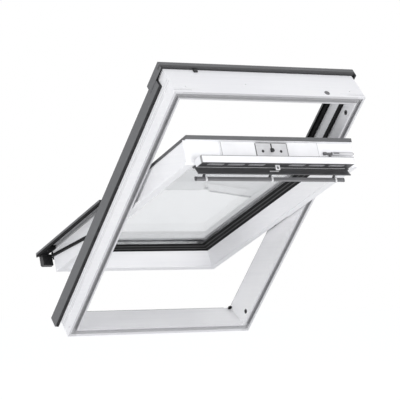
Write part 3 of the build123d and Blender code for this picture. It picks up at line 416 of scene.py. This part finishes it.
FINISH = {
    WHITE_RAIL: ("top_rail", "bottom_rail"),
    WHITE_HEAD: ("head",),
    WHITE_SILL: ("sill",),
    WHITE_JAMB: ("left_jamb", "right_jamb"),
    WHITE_STILE: ("left_stile", "right_stile"),
    CLADDING: (
        "left_side_cover", "right_side_cover", "left_upper_cover", "right_upper_cover",
        "lower_frame_cover", "sash_top_cover", "left_upper_sash_cover", "right_upper_sash_cover",
        "left_lower_sash_cover", "right_lower_sash_cover", "sash_bottom_cover",
    ),
    HOOD_CLADDING: ("top_hood",),
    RUBBER: (
        "left_frame_gasket", "right_frame_gasket", "top_frame_gasket", "cover_seals",
        "sill_corner_seals", "left_sash_gasket", "right_sash_gasket", "bottom_sash_gasket",
    ),
    RIBBED_RUBBER: ("glazing_gasket",),
    SEALANT: ("outer_glazing_seal",),
    WORN_RUBBER: ("side_cover_seals",),
    BLACK_PLASTIC: ("hood_clip", "sash_corner_caps"),
    DARK_PLASTIC: ("bolt_bushes", "vent_grille"),
    STEEL: (
        "left_hinge_plate", "right_hinge_plate", "left_sash_hinge", "right_sash_hinge",
        "hinge_screws", "strike_plate",
    ),
    DARK_STEEL: ("latch_tongue", "lock_case"),
    LOCK_METAL: ("bolt_housing",),
    PLATE_METAL: ("lock_plate",),
    GLASS: ("inner_pane", "outer_pane"),
    SPACER_METAL: ("glass_spacer",),
    WHITE_PLASTIC: ("vent_housing", "lock_panel"),
    FOAM: ("air_filter",),
    FLAP_METAL: ("vent_flap", "bar_posts", "bar_end_caps", "flap_lugs"),
    BAR_METAL: ("control_bar",),
    LIGHT_PLASTIC: ("bar_clips", "vent_catch", "catch_pad"),
    BOLT_METAL: ("barrel_bolt",),
}

for material, names in FINISH.items():
    for name in names:
        slots = nodes[name].data.materials
        slots.clear()
        slots.append(material)


# Eased edges, so that corners catch the light as folded and planed ones do

TIMBER_EASE = 0.0012
SHEET_EASE = 0.0006
FITTING_EASE = 0.0008
BLOCK_EASE = 0.001
SEAL_EASE = 0.0002
SCREW_EASE = 0.0001
EASE_ANGLE = math.radians(30.0)


def ease(piece, width):
    bevel = piece.modifiers.new("eased_edges", "BEVEL")
    bevel.width = width
    bevel.segments = 2
    bevel.limit_method = "ANGLE"
    bevel.angle_limit = EASE_ANGLE
    bevel.harden_normals = True


EASED = {
    TIMBER_EASE: ("head", "sill") + FINISH[WHITE_RAIL] + FINISH[WHITE_JAMB] + FINISH[WHITE_STILE],
    SHEET_EASE: FINISH[CLADDING] + FINISH[HOOD_CLADDING],
    FITTING_EASE: (
        "vent_housing", "lock_panel", "lock_plate", "control_bar", "sash_corner_caps", "bolt_housing",
    ),
}
for width, names in EASED.items():
    for name in names:
        ease(nodes[name], width)


# Small trim

def trim(name, mesh, material, body, softness):
    """Place a built mesh as a piece that rides on a body."""
    bmesh.ops.recalc_face_normals(mesh, faces=mesh.faces)
    data = bpy.data.meshes.new(name)
    mesh.to_mesh(data)
    mesh.free()
    data.materials.append(material)
    piece = bpy.data.objects.new(name, data)
    scene.collection.objects.link(piece)
    ease(piece, softness)
    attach(piece, body)


def prism(first, second):
    """A closed mesh between two rings of points."""
    mesh = bmesh.new()
    near = [mesh.verts.new(point) for point in first]
    far = [mesh.verts.new(point) for point in second]
    mesh.faces.new(near)
    mesh.faces.new(far)
    for k in range(len(near)):
        mesh.faces.new((near[k - 1], near[k], far[k], far[k - 1]))
    return mesh


def bar_up(profile, run, sign=1.0):
    """A bar that runs up the sash with a profile of (x, n) points."""
    return prism(*([SASH.at(sign * x, s, n) for x, n in profile] for s in run))


def bar_across(profile, run, sign=1.0):
    """A bar that runs across the sash with a profile of (s, n) points."""
    return prism(*([SASH.at(sign * x, s, n) for s, n in profile] for x in run))


def turned(centre, axis, profile, steps=32):
    """A closed mesh turned from (radius, height) pairs; the first and last lie on the axis."""
    side = axis.orthogonal().normalized()
    other = axis.cross(side)
    mesh = bmesh.new()
    start = mesh.verts.new(centre + axis * profile[0][1])
    end = mesh.verts.new(centre + axis * profile[-1][1])
    rings = []
    for radius, height in profile[1:-1]:
        ring = []
        for k in range(steps):
            angle = 2.0 * math.pi * k / steps
            spoke = side * math.cos(angle) + other * math.sin(angle)
            ring.append(mesh.verts.new(centre + axis * height + spoke * radius))
        rings.append(ring)
    for k in range(steps):
        mesh.faces.new((start, rings[0][k - 1], rings[0][k]))
        mesh.faces.new((end, rings[-1][k], rings[-1][k - 1]))
        for low, high in zip(rings, rings[1:]):
            mesh.faces.new((low[k - 1], low[k], high[k], high[k - 1]))
    return mesh


# Rubber edging around the leg of each lower sash cover, with a black lining under its sheet; the lining is
# painted shade, standing in for the shade under the sheet
COVER_TOP = 0.5248
EDGING_RUN = (-0.0338, COVER_TOP)
EDGING = (
    (0.38605, 0.1318), (0.3866, 0.1318), (0.3866, 0.1233), (0.3830, 0.1233), (0.3830, 0.1366),
    (0.3600, 0.1366), (0.3600, 0.1384), (0.38445, 0.1384), (0.38445, 0.1239), (0.38605, 0.1239),
)
# Grey strip that closes the gap between the stile and the cover's sheet; its grey is painted shade,
# standing in for the shade on the stile under the cover
STRIP_RUN = (0.0668, COVER_TOP)
STRIP = (
    (0.3590, 0.1366), (0.3482, 0.1366), (0.3482, 0.1262), (0.3452, 0.1262),
    (0.3452, 0.1384), (0.3590, 0.1384),
)
# Rubber corner block between the cover's end and the corner cap
BLOCK_RUN = (0.3490, 0.3825)
BLOCK = (
    (-0.0218, 0.1364), (-0.0218, 0.1263), (-0.0058, 0.1263), (-0.0040, 0.1242),
    (0.0560, 0.1242), (0.0640, 0.1290), (0.0660, 0.1364),
)
SIDES = (("left", -1.0), ("right", 1.0))
for side, sign in SIDES:
    edging = bar_up(EDGING, EDGING_RUN, sign)
    trim(f"{side}_cover_edging", edging, RUBBER, "sash", SEAL_EASE)
    strip = bar_up(STRIP, STRIP_RUN, sign)
    trim(f"{side}_cover_shade_strip", strip, SHADE_STRIP_PLASTIC, "sash", SEAL_EASE)
    block = bar_across(BLOCK, BLOCK_RUN, sign)
    trim(f"{side}_corner_block", block, RUBBER, "sash", BLOCK_EASE)

# Black brush that closes the slit above the latch tongue; its black is partly painted shade, standing in
# for the shade inside the slit
BRUSH_RUN = (1.0980, 1.1034)
BRUSH = (
    (-0.0023, 0.1048), (-0.0017, 0.1042), (0.0017, 0.1042), (0.0023, 0.1048),
    (0.0023, 0.1220), (0.0015, 0.1227), (-0.0015, 0.1227), (-0.0023, 0.1220),
)
trim("latch_slit_brush", bar_up(BRUSH, BRUSH_RUN), RUBBER, "sash", SEAL_EASE)

# Screws of the lock plate
SCREW_X = 0.037
SCREW_S = 1.10382
SCREW_N = 0.094
SCREW = (
    (0.0, 0.0), (0.0052, 0.0), (0.0052, 0.0005), (0.0044, 0.0012), (0.0024, 0.0014),
    (0.0021, 0.0005), (0.0, 0.0003),
)
for side, sign in SIDES:
    screw = turned(SASH.at(sign * SCREW_X, SCREW_S, SCREW_N), SASH.up, SCREW)
    trim(f"{side}_lock_screw", screw, DARK_STEEL, "sash", SCREW_EASE)

# Plug in the head
PLUG_PLACE = FRAME.at(0.235, 1.18, 0.020)
PLUG = (
    (0.0, -0.0055), (0.0080, -0.0055), (0.0086, -0.0010), (0.0086, 0.0001), (0.0104, 0.0001),
    (0.0100, 0.0008), (0.0064, 0.0011), (0.0056, 0.0003), (0.0, 0.0001),
)
plug = turned(PLUG_PLACE, FRAME.up, PLUG)
trim("head_plug", plug, PLUG_PLASTIC, "frame", SCREW_EASE)


# Studio

WHITE = (1.0, 1.0, 1.0, 1.0)
FLOOR_SIZE = 60.0
FLOOR_DROP = 0.45
FLOOR_TONE = (0.92, 0.92, 0.92, 1.0)
FLOOR_SEEN_TONE = (0.85, 0.85, 0.85, 1.0)
FLOOR_GLOW = 0.51
AMBIENT_TONE = (0.95, 0.96, 1.0, 1.0)
AMBIENT_STRENGTH = 0.6
LAMP_AIM = Vector((0.0, -0.42, 0.42))


def mix_by_sight(tree, unseen, seen, output):
    """The seen shader for camera rays and what mirrors and panes show, else the unseen one."""
    path = tree.nodes.new("ShaderNodeLightPath")
    sight = path.outputs["Is Camera Ray"]
    for ray in ("Is Glossy Ray", "Is Transmission Ray"):
        node = tree.nodes.new("ShaderNodeMath")
        node.operation = "MAXIMUM"
        tree.links.new(sight, node.inputs[0])
        tree.links.new(path.outputs[ray], node.inputs[1])
        sight = node.outputs["Value"]
    mix = tree.nodes.new("ShaderNodeMixShader")
    tree.links.new(sight, mix.inputs["Fac"])
    tree.links.new(unseen.outputs[0], mix.inputs[1])
    tree.links.new(seen.outputs[0], mix.inputs[2])
    tree.links.new(mix.outputs["Shader"], tree.nodes.new(output).inputs["Surface"])


def floor_material():
    """Pale floor that is white in the picture and keeps the object's shadow."""
    material = bpy.data.materials.new("studio_floor")
    material.use_nodes = True
    tree = material.node_tree
    tree.nodes.clear()
    matt = add_node(tree, "ShaderNodeBsdfDiffuse", Color=FLOOR_TONE)
    shaded = add_node(tree, "ShaderNodeBsdfDiffuse", Color=FLOOR_SEEN_TONE)
    glow = add_node(tree, "ShaderNodeEmission", Color=WHITE, Strength=FLOOR_GLOW)
    white = add_node(tree, "ShaderNodeAddShader")
    tree.links.new(shaded.outputs["BSDF"], white.inputs[0])
    tree.links.new(glow.outputs["Emission"], white.inputs[1])
    mix_by_sight(tree, matt, white, "ShaderNodeOutputMaterial")
    return material


def studio_world():
    """Soft white surround, full white to the camera, in mirrors and through panes."""
    world = bpy.data.worlds.new("studio")
    world.use_nodes = True
    tree = world.node_tree
    tree.nodes.clear()
    ambient = add_node(tree, "ShaderNodeBackground", Color=AMBIENT_TONE, Strength=AMBIENT_STRENGTH)
    white = add_node(tree, "ShaderNodeBackground", Color=WHITE, Strength=1.0)
    mix_by_sight(tree, ambient, white, "ShaderNodeOutputWorld")
    return world


def softbox(name, place, size, watts):
    """A square lamp aimed at the middle of the window."""
    lamp = bpy.data.lights.new(name, "AREA")
    lamp.shape = "SQUARE"
    lamp.size = size
    lamp.energy = watts
    rig = bpy.data.objects.new(name, lamp)
    scene.collection.objects.link(rig)
    rig.location = place
    rig.rotation_euler = (LAMP_AIM - Vector(place)).to_track_quat("-Z", "Y").to_euler()


bpy.ops.mesh.primitive_plane_add(size=FLOOR_SIZE, location=(0.0, 0.0, cad_box[0][2] - FLOOR_DROP))
floor = bpy.context.object
floor.name = "studio_floor"
floor.data.materials.append(floor_material())
scene.world = studio_world()

softbox("key_front", (0.6, -5.3, 0.8), size=2.0, watts=107.0)
softbox("side_left", (-4.8, -1.6, -0.1), size=1.2, watts=90.0)
softbox("roof_light", (0.5, 0.8, 3.4), size=2.5, watts=8.0)

# Camera at the photograph's angle
CAMERA_PLACE = (-3.950, -7.149, 0.149)
CAMERA_RIGHT = Vector((0.8645, -0.5022, -0.0197))
CAMERA_UP = Vector((-0.0022, -0.0429, 0.9991))
SENSOR_WIDTH = 36.0
FOCAL_LENGTH = 192.96
camera_data = bpy.data.cameras.new("camera")
camera_data.sensor_width = SENSOR_WIDTH
camera_data.lens = FOCAL_LENGTH
camera = bpy.data.objects.new("camera", camera_data)
scene.collection.objects.link(camera)
turn = Matrix((CAMERA_RIGHT, CAMERA_UP, CAMERA_RIGHT.cross(CAMERA_UP))).transposed()
camera.matrix_world = Matrix.Translation(CAMERA_PLACE) @ turn.to_4x4()
scene.camera = camera
